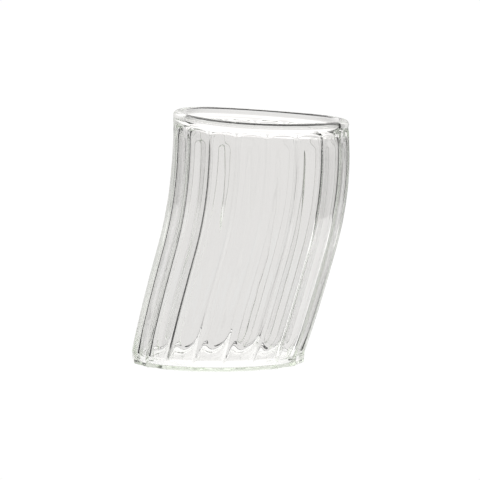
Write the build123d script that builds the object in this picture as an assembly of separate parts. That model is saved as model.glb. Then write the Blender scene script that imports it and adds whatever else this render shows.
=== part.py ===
from build123d import *
import os
from math import cos, degrees, radians, sin, sqrt, tan

# Leaning ribbed glass tumbler, in millimetres and degrees. Its underside rests on Z = 0, its body
# leans towards +X, and the origin is the middle of the underside. Its two halves are mirror images
# across the XZ plane.

# Height and lean
rim_height = 108.9  # centre of the rim's ring above the ground
rim_tilt = 3.3  # fall of the rim's plane towards +X
arch_tilt = 1.9  # fall of the line along the arched tops of the flutes
lean_angle = 15.5  # of the straight lower body, from the vertical
foot_height = 3.4  # upright band below the ribs
foot_bend_radius = 10.0  # bend of the centre line from the foot into the lean
shoulder_start = 51.8  # where the centre line begins to bend back upright
shoulder_bend_radius = 175.0

# Radii over the crests of the ribs
body_radius = 40.1
foot_taper = 1.4  # loss of radius at the ground
foot_taper_height = 40.0
neck_taper = 0.7  # loss of radius at the rim
neck_taper_start = 80.0
foot_edge = 0.8  # bevel round the underside

# Ribs, and the hollow flutes between them
rib_count = 18
rib_width = 1.2
flute_depth = 1.3
facet_depth = 0.8  # the foot is almost a polygon with its corners under the ribs
flute_top_gap = 2.9  # from the centre of the rim's ring down to the arched tops of the flutes
arch_height = 4.6
arch_shares = (0.0, 0.3, 0.55, 0.75, 0.9, 0.98)  # levels of an arch, as shares of its height

# Inside
wall = 2.7  # thickness at a rib
base_thickness = 1.5
inner_corner_radius = 2.4
mouth_clearance = 4.0  # how far the cut for the inside runs past the rim's plane

# Fire-polished rim
rim_ring_radius = 37.5
rim_bead_radius = 2.0

loft_steps = 16

# Worked out
pitch = 360 / rib_count
half_rib = degrees(rib_width / 2 / body_radius)
flute_top = rim_height - flute_top_gap
arch_start = flute_top - arch_height
arch_end = arch_start + arch_shares[-1] * arch_height


def arc_run(radius, rise):
    """Sideways run of a bend of this radius over a height measured from its upright end."""
    return radius - sqrt(radius**2 - rise**2)


def lean(z):
    """Distance of the centre line from the foot's axis, towards +X, at the height z."""
    slope_start = foot_height + foot_bend_radius * sin(radians(lean_angle))
    shoulder_end = shoulder_start + shoulder_bend_radius * sin(radians(lean_angle))
    foot_part = arc_run(foot_bend_radius, min(max(z, foot_height), slope_start) - foot_height)
    straight_part = (min(max(z, slope_start), shoulder_start) - slope_start) * tan(radians(lean_angle))
    whole_shoulder = arc_run(shoulder_bend_radius, shoulder_end - shoulder_start)
    left_above = arc_run(shoulder_bend_radius, shoulder_end - min(max(z, shoulder_start), shoulder_end))
    return foot_part + straight_part + whole_shoulder - left_above


def foot_loss(z):
    """Loss of radius towards the ground."""
    return foot_taper * max(1 - z / foot_taper_height, 0.0) ** 2


def outer_radius(z):
    """Radius over the ribs at the height z."""
    neck_share = max(z - neck_taper_start, 0.0) / (rim_height - neck_taper_start)
    return body_radius - foot_loss(z) - neck_taper * neck_share**2


def inner_radius(z):
    """Radius of the smooth inside at the height z."""
    return body_radius - wall - foot_loss(z)


def section_plane(z):
    """Plane of the cross-section at z: level at the ground, tilted like the arches, then like the rim."""
    neck_share = min(max(z - flute_top, 0.0) / flute_top_gap, 1.0)
    tilt = radians(arch_tilt * min(z / flute_top, 1.0) + (rim_tilt - arch_tilt) * neck_share)
    return Plane(origin=(lean(z), 0, z), x_dir=(cos(tilt), 0, -sin(tilt)), z_dir=(sin(tilt), 0, cos(tilt)))


def polar(radius, angle):
    """Point of a cross-section at an angle from its X axis."""
    return (radius * cos(radians(angle)), radius * sin(radians(angle)))


def ribbed_face(z, radius, depth, half_crest=half_rib):
    """Cross-section of crests and hollow flutes, with a crest at each end of its Y axis."""
    edges = []
    for rib in range(rib_count):
        crest = 90 + rib * pitch
        flute_start = polar(radius, crest + half_crest)
        flute_end = polar(radius, crest + pitch - half_crest)
        edges.append(ThreePointArc(polar(radius, crest - half_crest), polar(radius, crest), flute_start))
        edges.append(ThreePointArc(flute_start, polar(radius - depth, crest + pitch / 2), flute_end))
    return section_plane(z) * make_face(edges)


def round_face(z, radius):
    """Plain round cross-section."""
    return section_plane(z) * Circle(radius)


def levels(low, high, steps):
    """Evenly spaced heights, both ends included."""
    return [low + (high - low) * step / steps for step in range(steps + 1)]


def make_foot():
    """Upright band with flat facets and a bevelled lower edge."""
    rings = [(0.0, outer_radius(0.0) - foot_edge)]
    rings += [(z, outer_radius(z)) for z in (foot_edge, foot_height)]
    return loft([ribbed_face(z, radius, facet_depth) for z, radius in rings], ruled=True)


def make_ribbed_wall():
    """Solid body with full-depth flutes, from the foot to the flutes' arches."""
    heights = levels(foot_height, arch_start, loft_steps)
    return loft([ribbed_face(z, outer_radius(z), flute_depth) for z in heights])


def make_arches():
    """Short stretch where each flute narrows and fades out in a rounded arch."""
    faces = []
    for share in arch_shares:
        z = arch_start + share * arch_height
        narrowing = sqrt(1 - share**2)
        half_crest = pitch / 2 - (pitch / 2 - half_rib) * narrowing
        faces.append(ribbed_face(z, outer_radius(z), flute_depth * narrowing, half_crest))
    return loft(faces, ruled=True)


def make_neck():
    """Plain round band between the arches and the rim."""
    return loft([round_face(z, outer_radius(z)) for z in levels(arch_end, rim_height, 2)], ruled=True)


def make_inside():
    """Space inside the tumbler, with a rounded corner round its floor."""
    heights = levels(base_thickness, rim_height + mouth_clearance, loft_steps)
    space = loft([round_face(z, inner_radius(z)) for z in heights])
    floor_edge = space.edges().sort_by(Axis.Z)[0]
    return fillet(floor_edge, inner_corner_radius)


def make_rim():
    """Round bead along the rim."""
    return section_plane(rim_height) * Torus(rim_ring_radius, rim_bead_radius)


solid_body = make_foot() + make_ribbed_wall() + make_arches() + make_neck()
glass_tumbler = solid_body - make_inside() + make_rim()

os.makedirs("parts", exist_ok=True)
export_step(glass_tumbler, "parts/glass_tumbler.step")
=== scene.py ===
import math

import bpy
import numpy as np
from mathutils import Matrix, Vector


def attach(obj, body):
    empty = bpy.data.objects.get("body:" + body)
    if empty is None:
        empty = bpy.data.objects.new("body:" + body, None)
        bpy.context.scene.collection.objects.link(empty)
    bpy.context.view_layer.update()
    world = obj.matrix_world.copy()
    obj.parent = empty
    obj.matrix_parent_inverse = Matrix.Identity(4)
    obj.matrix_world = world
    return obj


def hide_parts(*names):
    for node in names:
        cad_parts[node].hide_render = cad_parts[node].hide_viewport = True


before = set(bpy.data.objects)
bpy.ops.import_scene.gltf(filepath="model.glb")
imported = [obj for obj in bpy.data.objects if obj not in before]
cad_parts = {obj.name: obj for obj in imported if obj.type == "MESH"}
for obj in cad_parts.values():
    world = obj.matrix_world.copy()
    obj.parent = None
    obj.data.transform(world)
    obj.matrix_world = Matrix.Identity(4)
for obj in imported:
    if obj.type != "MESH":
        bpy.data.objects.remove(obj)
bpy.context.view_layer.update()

MM = 0.001
TAU = 2 * math.pi

# Height and lean of the tumbler, as in its CAD body
RIM_HEIGHT = 108.9 * MM
RIM_TILT = math.radians(3.3)
LEAN_ANGLE = math.radians(15.5)
FOOT_HEIGHT = 3.4 * MM
FOOT_BEND_RADIUS = 10.0 * MM
SHOULDER_START = 51.8 * MM
SHOULDER_BEND_RADIUS = 175.0 * MM

# Radii over the crests of the ribs
BODY_RADIUS = 40.1 * MM
FOOT_TAPER = 1.4 * MM
FOOT_TAPER_HEIGHT = 40.0 * MM
NECK_TAPER = 0.7 * MM
NECK_TAPER_START = 80.0 * MM
FOOT_EDGE = 0.8 * MM

# Ribs and flutes
RIB_COUNT = 18
RIB_RISE = 0.62 * MM
RIB_RISE_EXTRA = 0.25  # shares by which the ribs stand out more at the bottom and on the strong side
RIB_REACH_EXTRA = 0.18
STRONG_SIDE = math.radians(-130)
RIB_REACH = 0.61 * MM
FACET_ROUNDING = 0.3 * MM
FACET_DEPTH = 0.78 * MM
FLUTE_TOP_GAP = 2.0 * MM
FLUTE_TOP_SLOPE = 1.0 * MM
ARCH_HEIGHT = 3.6 * MM
ARCH_POWER = 2.6
FLUTE_TOP_RAMP = 1.2 * MM
FLUTE_FOOT_RAMP = 1.4 * MM

# Inside
WALL = 2.7 * MM
BASE_THICKNESS = 1.5 * MM
INNER_CORNER_RADIUS = 2.4 * MM
INNER_WAVE = 0.41 * MM
INNER_WAVE_TOP_RAMP = 5.0 * MM
INNER_WAVE_FOOT_RAMP = 12.0 * MM

# Fire-polished rim, which isn't quite flat
RIM_RING_RADIUS = 37.4 * MM
RIM_BEAD_RADIUS = 2.1 * MM
RIM_WAVE = 0.39 * MM
RIM_WAVE_TURN = math.radians(50)
OUTER_JOIN_ANGLE = math.radians(15)
INNER_JOIN_ANGLE = math.radians(32)
OUTER_JOIN_DROP = 2.2 * MM
INNER_JOIN_DROP = 5.0 * MM

# Hand-finished glass: faint green depth, slight waves, per metre across and up, and uneven polish
GLASS_COLOUR = (0.99, 0.99, 0.985, 1)
GLASS_IOR = 1.48
DEPTH_COLOUR = (0.93, 0.97, 0.905, 1)
DEPTH_DENSITY = 20.0
GLASS_WAVE_SCALE = (70, 70, 18)
GLASS_WAVE_DETAIL = 2.0
GLASS_WAVE_HEIGHT = 0.15 * MM
GLASS_ROUGHNESS = 0.02
LIGHT_BOUNCES = 32  # enough for light to pass through every wall and rib

# Mesh density: columns round the glass, then rows up each stretch of its profile
COLUMNS_PER_FLUTE = 16
CREST_CROWDING = 1.6
UNDERSIDE_SHARES = (0.25, 0.5, 0.7, 0.85, 0.95)  # rings of the underside, as shares of its radius
EDGE_ROWS = 7
FOOT_ROWS = 4
LOW_WALL_TOP = 8.0 * MM
LOW_WALL_ROWS = 12
WALL_ROWS = 99
ARCH_ROWS = 35
SWELL_ROWS = 8
BEAD_ROWS = 29
INSIDE_ROWS = 100
CORNER_ROWS = 11
FLOOR_SHARES = (0.93, 0.8, 0.6, 0.4, 0.2)  # rings of the inside's floor, as shares of its flat radius

# Camera
CAMERA_DISTANCE = 3.0
CAMERA_ELEVATION = math.radians(5.95)
CAMERA_AZIMUTH = math.radians(-3.9)
CAMERA_TARGET = Vector((0.0099, 0.0, 0.0549))
FRAME_WIDTH = 0.2156  # what the view takes in at the target
SENSOR_WIDTH = 36.0
CLIP_END = 50

# Studio: a pale floor and world, which the camera sees, and light that it sees only through the glass
STUDIO_CENTRE = (0.01, 0.0, 0.055)
FLOOR_BRIGHTNESS = 1.02
FLOOR_SIZE = 12
WARMTH = (1, 0.992, 0.99)

# Brightness of the dome by azimuth, in degrees from straight behind the glass, and by elevation
DOME_DISTANCE = 2.0
DOME_GRID = (65, 49)
DOME_BY_AZIMUTH = [
    (-180, 0.84), (-140, 0.74), (-90, 0.7), (-55, 0.5), (-42, 0.72), (-27, 0.86), (25, 0.855), (32, 0.75),
    (38, 0.5), (66, 0.4), (80, 0.55), (95, 0.75), (140, 0.82), (180, 0.84),
]
DOME_BY_ELEVATION = [
    (-90, 1.1), (-60, 1.1), (-45, 0.92), (-4, 0.92), (4, 0.98), (8, 1.0), (14, 1.3),
    (30, 1.7), (58, 1.7), (64, 1.2), (90, 1.2),
]

# Cards in front of the dome: azimuths, elevations, distance and brightness
CARD_GRID = (13, 9)
CARDS = [
    ("dark_low", (-62, 58), (-52, -17), 1.85, 0.0),
    ("grey_left", (-130, -38), (-33, -3), 1.9, 0.35),
    ("flag_left", (-88, -50), (-16, 34), 1.8, 0.0),
    ("flag_right", (38, 67), (-13, 34), 1.8, 0.0),
    ("flag_right_low", (67, 80), (-14, -3), 1.8, 0.05),
    ("white_right", (46, 88), (-33, -14), 1.9, 1.35),
]

# Flat surfaces just under the ground: a round white one under the foot, and a grey one behind the glass
UNDER_GROUND = 1.0 * MM
WHITE_DISC_RADIUS = 0.048
WHITE_DISC_CORNERS = 64
WHITE_DISC_BRIGHTNESS = 1.06
GREY_SHEET_HALF_WIDTH = 0.3
GREY_SHEET_DEPTHS = (0.22, 0.38)
GREY_SHEET_BRIGHTNESS = 0.8


def smooth_step(value):
    """Eases from 0 to 1 as value does."""
    t = np.clip(value, 0.0, 1.0)
    return t * t * (3 - 2 * t)


def arc_run(radius, rise):
    """Sideways run of a bend of this radius over a height measured from its upright end."""
    return radius - math.sqrt(radius**2 - rise**2)


def lean(z):
    """Distance of the centre line from the foot's axis, towards +X, at the height z."""
    slope_start = FOOT_HEIGHT + FOOT_BEND_RADIUS * math.sin(LEAN_ANGLE)
    shoulder_end = SHOULDER_START + SHOULDER_BEND_RADIUS * math.sin(LEAN_ANGLE)
    foot_part = arc_run(FOOT_BEND_RADIUS, min(max(z, FOOT_HEIGHT), slope_start) - FOOT_HEIGHT)
    straight_part = (min(max(z, slope_start), SHOULDER_START) - slope_start) * math.tan(LEAN_ANGLE)
    whole_shoulder = arc_run(SHOULDER_BEND_RADIUS, shoulder_end - SHOULDER_START)
    left_above = arc_run(SHOULDER_BEND_RADIUS, shoulder_end - min(max(z, SHOULDER_START), shoulder_end))
    return foot_part + straight_part + whole_shoulder - left_above


def foot_loss(z):
    """Loss of radius towards the ground."""
    return FOOT_TAPER * max(1 - z / FOOT_TAPER_HEIGHT, 0.0) ** 2


def outer_radius(z):
    """Radius over the ribs at the height z."""
    neck_share = max(z - NECK_TAPER_START, 0.0) / (RIM_HEIGHT - NECK_TAPER_START)
    return BODY_RADIUS - foot_loss(z) - NECK_TAPER * neck_share**2


def inner_radius(z):
    """Radius of the inside at the height z."""
    return BODY_RADIUS - WALL - foot_loss(z)


def column_angles():
    """Angles of the mesh's columns, and how far each lies from the nearest crest, in half flutes.

    The columns crowd towards the crests, which are narrow.
    """
    half = COLUMNS_PER_FLUTE // 2
    rising = (np.arange(half + 1) / half) ** CREST_CROWDING
    shares = np.concatenate([rising, rising[-2:0:-1]])
    turns = np.concatenate([rising / 2, 1 - rising[-2:0:-1] / 2])
    pitch = TAU / RIB_COUNT
    angles = np.concatenate([math.pi / 2 + (rib + turns) * pitch for rib in range(RIB_COUNT)])
    return angles, np.tile(shares, RIB_COUNT)


ANGLES, CREST_SHARES = column_angles()


def rim_wave(z):
    """Lift of each column, from nothing at the ground to the rim's own wave at the top."""
    return RIM_WAVE * np.cos(2 * ANGLES + RIM_WAVE_TURN) * (max(z, 0.0) / RIM_HEIGHT) ** 3


def ring(z, radius, lift=0.0):
    """Points round the section at z: level at the ground, in the rim's tilt at the top."""
    tilt = RIM_TILT * z / RIM_HEIGHT
    centre = np.array([lean(z), 0.0, z])
    across = np.array([math.cos(tilt), 0.0, -math.sin(tilt)])
    depth = np.array([0.0, 1.0, 0.0])
    normal = np.array([math.sin(tilt), 0.0, math.cos(tilt)])
    radius = np.broadcast_to(radius, ANGLES.shape)
    lift = np.broadcast_to(lift, ANGLES.shape) + rim_wave(z)
    flat = np.outer(np.cos(ANGLES) * radius, across) + np.outer(np.sin(ANGLES) * radius, depth)
    return centre + flat + np.outer(lift, normal)


def flute_hollow(z):
    """How far each column lies inside the crests' circle, at the height z."""
    half_flute = BODY_RADIUS * math.pi / RIB_COUNT
    from_crest = CREST_SHARES * half_flute
    rounded = np.sqrt(from_crest**2 + FACET_ROUNDING**2) - FACET_ROUNDING
    facet = FACET_DEPTH * (1 - (1 - rounded / half_flute) ** 2)
    strength = np.cos(ANGLES - STRONG_SIDE) + 1 - 2 * z / RIM_HEIGHT
    rise = RIB_RISE * (1 + RIB_RISE_EXTRA * strength)
    reach = RIB_REACH * (1 + RIB_REACH_EXTRA * strength)
    beside_rib = rise * (1 - np.exp(-((from_crest / reach) ** 2)))
    from_middle = 1 - CREST_SHARES
    arch_drop = ARCH_HEIGHT * (1 - (1 - from_middle**ARCH_POWER) ** (1 / ARCH_POWER))
    below_arch = RIM_HEIGHT - FLUTE_TOP_GAP + FLUTE_TOP_SLOPE * np.cos(ANGLES) - arch_drop - z
    top_fade = smooth_step(below_arch / FLUTE_TOP_RAMP)
    foot_fade = smooth_step((z - FOOT_HEIGHT) / FLUTE_FOOT_RAMP)
    return (facet + beside_rib * foot_fade) * top_fade


def hermite(start, start_way, end, end_way, steps):
    """Points between two ends of a curve that leaves and arrives in the given directions."""
    reach = math.dist(start, end)
    points = []
    for step in range(1, steps):
        t = step / steps
        a = 2 * t**3 - 3 * t**2 + 1
        b = (t**3 - 2 * t**2 + t) * reach
        c = 3 * t**2 - 2 * t**3
        d = (t**3 - t**2) * reach
        points.append(tuple(a * start[k] + b * start_way[k] + c * end[k] + d * end_way[k] for k in (0, 1)))
    return points


def underside_rings():
    """Flat underside, from its middle outwards, and its rounded edge."""
    hollow = flute_hollow(0.0)
    edge = outer_radius(0.0) - FOOT_EDGE
    rings = [ring(0.0, (edge - hollow) * share) for share in UNDERSIDE_SHARES]
    for turn in np.linspace(0, math.pi / 2, EDGE_ROWS):
        z = FOOT_EDGE * (1 - math.cos(turn))
        rings.append(ring(z, outer_radius(z) - FOOT_EDGE * (1 - math.sin(turn)) - hollow))
    return rings


def wall_rings():
    """Fluted outside, from the foot to where the neck swells into the rim."""
    neck = RIM_HEIGHT - OUTER_JOIN_DROP
    arch_low = RIM_HEIGHT - FLUTE_TOP_GAP - FLUTE_TOP_SLOPE - ARCH_HEIGHT - FLUTE_TOP_RAMP
    levels = np.concatenate([
        np.linspace(FOOT_EDGE, FOOT_HEIGHT, FOOT_ROWS + 1)[1:],
        np.linspace(FOOT_HEIGHT, LOW_WALL_TOP, LOW_WALL_ROWS + 1)[1:],
        np.linspace(LOW_WALL_TOP, arch_low, WALL_ROWS + 1)[1:],
        np.linspace(arch_low, neck, ARCH_ROWS + 1)[1:],
    ])
    return [ring(z, outer_radius(z) - flute_hollow(z)) for z in levels]


def bead_rings():
    """Round bead, with a smooth swell from the neck and back into the inside."""
    join = -OUTER_JOIN_ANGLE
    back = math.pi + INNER_JOIN_ANGLE
    neck = (outer_radius(RIM_HEIGHT - OUTER_JOIN_DROP), -OUTER_JOIN_DROP)
    inside = (inner_radius(RIM_HEIGHT), -INNER_JOIN_DROP)

    def on_bead(turn):
        """Point of the bead's round section, as a radius and a height over the rim's plane."""
        return (RIM_RING_RADIUS + RIM_BEAD_RADIUS * math.cos(turn), RIM_BEAD_RADIUS * math.sin(turn))

    swell = hermite(neck, (0, 1), on_bead(join), (-math.sin(join), math.cos(join)), SWELL_ROWS)
    profile = [on_bead(turn) for turn in np.linspace(join, back, BEAD_ROWS)]
    profile += hermite(on_bead(back), (-math.sin(back), math.cos(back)), inside, (0, -1), SWELL_ROWS)
    hollow = flute_hollow(RIM_HEIGHT - OUTER_JOIN_DROP)
    rings = []
    for step, (radius, lift) in enumerate(swell, 1):
        left = 1 - smooth_step(step / (len(swell) + 1))
        rings.append(ring(RIM_HEIGHT, radius - hollow * left, lift))
    return rings + [ring(RIM_HEIGHT, radius, lift) for radius, lift in profile]


def inside_rings():
    """Smooth inside, from under the rim to the middle of the floor."""
    low = BASE_THICKNESS + INNER_CORNER_RADIUS
    wave = INNER_WAVE * np.cos(math.pi * CREST_SHARES)
    rings = []
    for z in np.linspace(RIM_HEIGHT - INNER_JOIN_DROP, low, INSIDE_ROWS):
        top_fade = smooth_step((RIM_HEIGHT - INNER_JOIN_DROP - z) / INNER_WAVE_TOP_RAMP)
        foot_fade = smooth_step((z - low) / INNER_WAVE_FOOT_RAMP)
        rings.append(ring(z, inner_radius(z) + wave * top_fade * foot_fade))
    for turn in np.linspace(0, math.pi / 2, CORNER_ROWS + 1)[1:]:
        z = low - INNER_CORNER_RADIUS * math.sin(turn)
        inset = INNER_CORNER_RADIUS * (1 - math.cos(turn))
        rings.append(ring(z, inner_radius(z) - inset))
    flat = inner_radius(BASE_THICKNESS) - INNER_CORNER_RADIUS
    rings += [ring(BASE_THICKNESS, flat * share) for share in FLOOR_SHARES]
    return rings


def closed_mesh(name, rings, first, last):
    """Closed surface through rings of equal length, with a point at each end."""
    count = len(ANGLES)
    points = np.concatenate([[first], *rings, [last]])
    nxt = np.roll(np.arange(count), -1)
    here = np.arange(count)
    faces = [(0, 1 + b, 1 + a) for a, b in zip(here, nxt)]
    for row in range(len(rings) - 1):
        low, high = 1 + row * count, 1 + (row + 1) * count
        faces += [(low + a, low + b, high + b, high + a) for a, b in zip(here, nxt)]
    top = 1 + (len(rings) - 1) * count
    faces += [(top + a, top + b, len(points) - 1) for a, b in zip(here, nxt)]
    mesh = bpy.data.meshes.new(name)
    mesh.from_pydata(points.tolist(), [], faces)
    mesh.validate()
    mesh.shade_smooth()
    return mesh


def shader_node(tree, kind, **settings):
    """New node of a kind, with its settings."""
    node = tree.nodes.new(kind)
    for key, value in settings.items():
        setattr(node, key, value)
    return node


def scaled(tree, source, factor, offset):
    """A value times a factor, plus an offset."""
    node = shader_node(tree, "ShaderNodeMath", operation="MULTIPLY_ADD")
    node.inputs[1].default_value = factor
    node.inputs[2].default_value = offset
    tree.links.new(source, node.inputs[0])
    return node.outputs[0]


def glass_material():
    """Clear glass with the slight waviness and uneven polish of hand-finished work."""
    material = bpy.data.materials.new("clear_glass")
    material.use_nodes = True
    tree = material.node_tree
    shader = tree.nodes["Principled BSDF"]
    shader.inputs["Base Color"].default_value = GLASS_COLOUR
    shader.inputs["Transmission Weight"].default_value = 1.0
    shader.inputs["IOR"].default_value = GLASS_IOR
    place = shader_node(tree, "ShaderNodeTexCoord")
    stretch = shader_node(tree, "ShaderNodeMapping")
    stretch.inputs["Scale"].default_value = GLASS_WAVE_SCALE
    tree.links.new(place.outputs["Object"], stretch.inputs[0])
    waves = shader_node(tree, "ShaderNodeTexNoise")
    waves.inputs["Scale"].default_value = 1.0
    waves.inputs["Detail"].default_value = GLASS_WAVE_DETAIL
    tree.links.new(stretch.outputs[0], waves.inputs["Vector"])
    bump = shader_node(tree, "ShaderNodeBump")
    bump.inputs["Strength"].default_value = 1.0
    bump.inputs["Distance"].default_value = GLASS_WAVE_HEIGHT
    tree.links.new(waves.outputs[0], bump.inputs["Height"])
    tree.links.new(bump.outputs[0], shader.inputs["Normal"])
    tree.links.new(scaled(tree, waves.outputs[0], GLASS_ROUGHNESS, 0.0), shader.inputs["Roughness"])
    depth = shader_node(tree, "ShaderNodeVolumeAbsorption")
    depth.inputs["Color"].default_value = DEPTH_COLOUR
    depth.inputs["Density"].default_value = DEPTH_DENSITY
    tree.links.new(depth.outputs[0], tree.nodes["Material Output"].inputs["Volume"])
    return material


def make_tumbler():
    """The whole glass, as one closed mesh."""
    rings = underside_rings() + wall_rings() + bead_rings() + inside_rings()
    floor_middle = (lean(BASE_THICKNESS), 0.0, BASE_THICKNESS)
    mesh = closed_mesh("tumbler", rings, (0.0, 0.0, 0.0), floor_middle)
    tumbler = bpy.data.objects.new("tumbler", mesh)
    bpy.context.scene.collection.objects.link(tumbler)
    mesh.materials.append(glass_material())
    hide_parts("glass_tumbler")
    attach(tumbler, "root")


def glow(name, strength, colour=(1, 1, 1, 1)):
    """Plain evenly lit surface of the studio."""
    material = bpy.data.materials.new(name)
    material.use_nodes = True
    nodes, links = material.node_tree.nodes, material.node_tree.links
    nodes.clear()
    emission = nodes.new("ShaderNodeEmission")
    emission.inputs["Color"].default_value = colour
    emission.inputs["Strength"].default_value = strength
    output = nodes.new("ShaderNodeOutputMaterial")
    links.new(emission.outputs[0], output.inputs[0])
    return material


def make_floor():
    """Plain pale floor, which only the camera sees, so that it doesn't light the glass."""
    half = FLOOR_SIZE / 2
    mesh = bpy.data.meshes.new("floor")
    corners = [(-half, -half, 0), (half, -half, 0), (half, half, 0), (-half, half, 0)]
    mesh.from_pydata(corners, [], [(0, 1, 2, 3)])
    mesh.materials.append(glow("floor", FLOOR_BRIGHTNESS))
    floor = bpy.data.objects.new("floor", mesh)
    bpy.context.scene.collection.objects.link(floor)
    floor.visible_transmission = False
    floor.visible_glossy = False
    floor.visible_diffuse = False


def warm(level):
    """Colour of the studio's slightly warm light at a brightness."""
    return (*(level * share for share in WARMTH), 1)


def brightness_ramp(tree, stops, low, high, source):
    """Brightness by angle, from a value that runs from 0 to 1 between the angles low and high."""
    ramp = shader_node(tree, "ShaderNodeValToRGB")
    elements = ramp.color_ramp.elements
    while len(elements) < len(stops):
        elements.new(0.5)
    for element, (angle, level) in zip(elements, stops):
        element.position = (angle - low) / (high - low)
        element.color = warm(level)
    tree.links.new(source, ramp.inputs[0])
    return ramp.outputs[0]


def dome_material():
    """Soft light of the dome by direction."""
    material = bpy.data.materials.new("dome")
    material.use_nodes = True
    tree = material.node_tree
    tree.nodes.clear()
    place = shader_node(tree, "ShaderNodeTexCoord")
    way = shader_node(tree, "ShaderNodeVectorMath", operation="NORMALIZE")
    tree.links.new(place.outputs["Object"], way.inputs[0])
    parts = shader_node(tree, "ShaderNodeSeparateXYZ")
    tree.links.new(way.outputs[0], parts.inputs[0])
    azimuth = shader_node(tree, "ShaderNodeMath", operation="ARCTAN2")
    tree.links.new(parts.outputs["X"], azimuth.inputs[0])
    tree.links.new(parts.outputs["Y"], azimuth.inputs[1])
    elevation = shader_node(tree, "ShaderNodeMath", operation="ARCSINE")
    tree.links.new(parts.outputs["Z"], elevation.inputs[0])
    turn = scaled(tree, azimuth.outputs[0], 1 / TAU, 0.5)
    rise = scaled(tree, elevation.outputs[0], 1 / math.pi, 0.5)
    round_about = brightness_ramp(tree, DOME_BY_AZIMUTH, -180, 180, turn)
    up_down = brightness_ramp(tree, DOME_BY_ELEVATION, -90, 90, rise)
    both = shader_node(tree, "ShaderNodeMix", data_type="RGBA", blend_type="MULTIPLY")
    both.inputs[0].default_value = 1
    tree.links.new(round_about, both.inputs[6])
    tree.links.new(up_down, both.inputs[7])
    emission = shader_node(tree, "ShaderNodeEmission")
    tree.links.new(both.outputs[2], emission.inputs[0])
    output = shader_node(tree, "ShaderNodeOutputMaterial")
    tree.links.new(emission.outputs[0], output.inputs[0])
    return material


def curved_mesh(name, azimuths, elevations, distance, grid=CARD_GRID):
    """Part of a sphere round the glass, between two azimuths and two elevations in degrees."""
    across, up = grid
    points = []
    for v in np.radians(np.linspace(*elevations, up)):
        for u in np.radians(np.linspace(*azimuths, across)):
            points.append((math.sin(u) * math.cos(v), math.cos(u) * math.cos(v), math.sin(v)))
    faces = []
    for row in range(up - 1):
        for column in range(across - 1):
            first = row * across + column
            faces.append((first, first + 1, first + across + 1, first + across))
    mesh = bpy.data.meshes.new(name)
    mesh.from_pydata((np.array(points) * distance).tolist(), [], faces)
    return mesh


def flat_mesh(name, corners):
    """One flat face just under the ground, as seen from the middle of the studio."""
    z = -UNDER_GROUND - STUDIO_CENTRE[2]
    mesh = bpy.data.meshes.new(name)
    mesh.from_pydata([(x, y, z) for x, y in corners], [], [tuple(range(len(corners)))])
    return mesh


def surround(name, mesh, material):
    """Places a part of the studio round the glass, out of the camera's own sight."""
    mesh.materials.append(material)
    piece = bpy.data.objects.new(name, mesh)
    bpy.context.scene.collection.objects.link(piece)
    piece.location = STUDIO_CENTRE
    piece.rotation_euler.z = CAMERA_AZIMUTH
    piece.visible_camera = False


def make_studio():
    """Pale floor, and a dome of soft light with dark and grey cards in front of it."""
    world = bpy.data.worlds.new("studio")
    bpy.context.scene.world = world
    world.use_nodes = True
    background = world.node_tree.nodes["Background"]
    background.inputs["Color"].default_value = (1, 1, 1, 1)
    background.inputs["Strength"].default_value = FLOOR_BRIGHTNESS
    make_floor()
    surround("dome", curved_mesh("dome", (-180, 180), (-90, 90), DOME_DISTANCE, DOME_GRID), dome_material())
    turns = np.linspace(0, TAU, WHITE_DISC_CORNERS + 1)[:-1]
    disc = np.stack([np.cos(turns), np.sin(turns)], axis=1) * WHITE_DISC_RADIUS
    disc = flat_mesh("white_disc", (disc - (STUDIO_CENTRE[0], 0)).tolist())
    surround("white_disc", disc, glow("white_disc", 1.0, warm(WHITE_DISC_BRIGHTNESS)))
    half, (near, far) = GREY_SHEET_HALF_WIDTH, GREY_SHEET_DEPTHS
    sheet = flat_mesh("grey_sheet", [(-half, near), (half, near), (half, far), (-half, far)])
    surround("grey_sheet", sheet, glow("grey_sheet", 1.0, warm(GREY_SHEET_BRIGHTNESS)))
    for name, azimuths, elevations, distance, level in CARDS:
        mesh = curved_mesh(name, azimuths, elevations, distance)
        surround(name, mesh, glow(name, 1.0, warm(level)))


def make_camera():
    """Long lens, a little above the glass's middle."""
    data = bpy.data.cameras.new("camera")
    camera = bpy.data.objects.new("camera", data)
    bpy.context.scene.collection.objects.link(camera)
    away = Vector((
        math.sin(CAMERA_AZIMUTH) * math.cos(CAMERA_ELEVATION),
        -math.cos(CAMERA_AZIMUTH) * math.cos(CAMERA_ELEVATION),
        math.sin(CAMERA_ELEVATION),
    ))
    camera.location = CAMERA_TARGET + away * CAMERA_DISTANCE
    camera.rotation_euler = (-away).to_track_quat("-Z", "Y").to_euler()
    data.sensor_width = SENSOR_WIDTH
    data.lens = SENSOR_WIDTH * CAMERA_DISTANCE / FRAME_WIDTH
    data.clip_end = CLIP_END
    bpy.context.scene.camera = camera


cycles = bpy.context.scene.cycles
cycles.max_bounces = LIGHT_BOUNCES
cycles.transmission_bounces = LIGHT_BOUNCES
cycles.glossy_bounces = LIGHT_BOUNCES
make_tumbler()
make_studio()
make_camera()
bpy.context.scene.view_settings.view_transform = "Standard"
